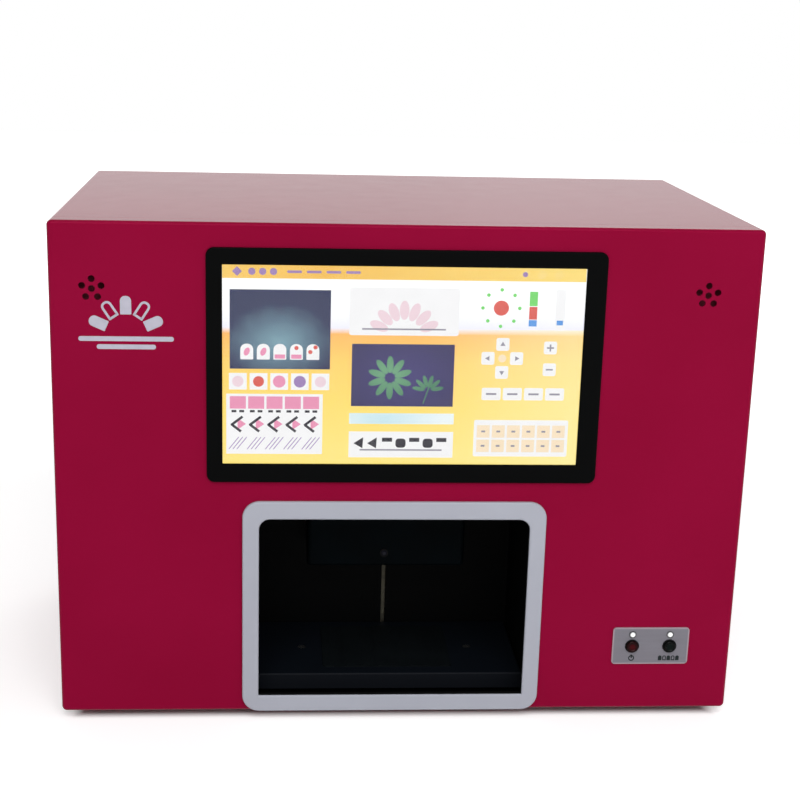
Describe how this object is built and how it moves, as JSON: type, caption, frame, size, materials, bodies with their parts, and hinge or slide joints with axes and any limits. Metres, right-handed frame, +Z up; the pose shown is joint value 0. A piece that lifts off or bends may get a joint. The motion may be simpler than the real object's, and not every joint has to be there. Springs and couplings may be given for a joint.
{
  "type": "digital nail art printer",
  "caption": "Desktop nail art printer with a sheet-metal cabinet, touch screen, hand bay with lifting platform, push buttons and an inkjet gantry inside.",
  "frame": {"origin": "on the floor under the centre of the machine's bounding box", "axes": "+X to the right across the front, +Y from the front to the back, +Z up"},
  "size_m": [0.44, 0.2654, 0.3284],
  "materials": {
    "red_paint": "gloss",
    "black_sheet": "satin",
    "black_plastic": "satin",
    "cover_glass": "polished",
    "display": "lit",
    "pale_plastic": "satin",
    "plate_grey": "satin",
    "button_red": "gloss",
    "button_green": "gloss",
    "lamp_white": "lit",
    "foot_rubber": "matte",
    "pad_rubber": "matte",
    "zinc_steel": "zinc plated",
    "rod_steel": "polished",
    "cast_alloy": "cast",
    "motor_black": "satin",
    "white_plastic": "satin",
    "belt_black": "matte",
    "board_green": "satin",
    "brass": "machined",
    "cone_black": "paper"
  },
  "bodies": {
    "cabinet": {"cabinet_cover": "red_paint", "front_panel": "red_paint", "base_tray": "black_sheet", "rear_panel": "red_paint", "rubber_feet": "foot_rubber", "rear_screws": "zinc_steel", "screen_bezel": "black_plastic", "touch_glass": "cover_glass", "lcd_panel": "display", "screen_clamps": "zinc_steel", "bay_frame": "pale_plastic", "bay_liner": "black_sheet", "print_shroud": "black_sheet", "bay_lamp": "lamp_white", "alignment_camera": "black_plastic", "lift_rods": "rod_steel", "lift_bracket": "zinc_steel", "lift_motor": "motor_black", "engine_frame": "zinc_steel", "y_rods": "rod_steel", "y_motor": "motor_black", "control_plate": "plate_grey", "button_switches": "black_plastic", "switch_nuts": "brass", "indicator_lights": "lamp_white", "speakers": "cone_black", "mainboard": "board_green", "board_standoffs": "brass", "heat_sink": "cast_alloy", "rear_ports": "zinc_steel", "power_supply": "zinc_steel", "fan_frame": "black_plastic", "power_inlet": "black_plastic"},
    "left_button": {"left_button": "button_red"},
    "right_button": {"right_button": "button_green"},
    "rocker": {"power_rocker": "black_plastic"},
    "gantry": {"gantry_frame": "cast_alloy", "x_rod": "rod_steel", "x_motor": "motor_black", "idler_pin": "zinc_steel", "x_belt": "belt_black"},
    "carriage": {"print_carriage": "black_plastic", "print_head": "black_plastic", "ink_cartridge": "white_plastic"},
    "drive_pulley": {"x_drive_pulley": "cast_alloy"},
    "idler_pulley": {"x_idler_pulley": "cast_alloy"},
    "y_screw": {"y_lead_screw": "rod_steel"},
    "platform": {"hand_platform": "black_plastic", "finger_pad": "pad_rubber", "platform_screws": "zinc_steel", "lift_arm": "zinc_steel"},
    "z_screw": {"lift_screw": "rod_steel"},
    "fan": {"fan_rotor": "black_plastic"}
  },
  "joints": [
    {"name": "left_button_press", "type": "slide", "parent": "cabinet", "child": "left_button", "axis": [0, 1, 0], "range_m": [0, 0.0015], "stiffness_N_per_m": 700},
    {"name": "right_button_press", "type": "slide", "parent": "cabinet", "child": "right_button", "axis": [0, 1, 0], "range_m": [0, 0.0015], "stiffness_N_per_m": 700},
    {"name": "rocker_tilt", "type": "hinge", "parent": "cabinet", "child": "rocker", "pos_m": [-0.166, 0.12795, 0.08], "axis": [-1, 0, 0], "range_deg": [0, 18]},
    {"name": "gantry_slide", "type": "slide", "parent": "cabinet", "child": "gantry", "axis": [0, 1, 0], "range_m": [-0.01, 0.01]},
    {"name": "y_screw_spin", "type": "hinge", "parent": "cabinet", "child": "y_screw", "pos_m": [-0.0052, 0.05, 0.159], "axis": [0, 1, 0], "range_deg": [-901, 901]},
    {"name": "carriage_slide", "type": "slide", "parent": "gantry", "child": "carriage", "axis": [1, 0, 0], "range_m": [-0.038, 0.038]},
    {"name": "drive_pulley_spin", "type": "hinge", "parent": "gantry", "child": "drive_pulley", "pos_m": [-0.0842, 0.0197, 0.188], "axis": [0, 1, 0], "range_deg": [-286, 286]},
    {"name": "idler_pulley_spin", "type": "hinge", "parent": "gantry", "child": "idler_pulley", "pos_m": [0.0738, 0.0197, 0.188], "axis": [0, 1, 0], "range_deg": [-286, 286]},
    {"name": "platform_lift", "type": "slide", "parent": "cabinet", "child": "platform", "axis": [0, 0, 1], "range_m": [0, 0.045]},
    {"name": "lift_screw_spin", "type": "hinge", "parent": "cabinet", "child": "z_screw", "pos_m": [-0.0036, 0.0087, 0.05], "axis": [0, 0, 1], "range_deg": [-4052, 1]},
    {"name": "fan_spin", "type": "hinge", "parent": "cabinet", "child": "fan", "pos_m": [-0.128, 0.115, 0.242], "axis": [0, 1, 0], "continuous": true}
  ],
  "couplings": [
    {"joint": "y_screw_spin", "follows": "gantry_slide", "rad_per_m": -1570.8},
    {"joint": "drive_pulley_spin", "follows": "carriage_slide", "rad_per_m": -130.9},
    {"joint": "idler_pulley_spin", "follows": "carriage_slide", "rad_per_m": -130.9},
    {"joint": "lift_screw_spin", "follows": "platform_lift", "rad_per_m": -1570.8}
  ]
}
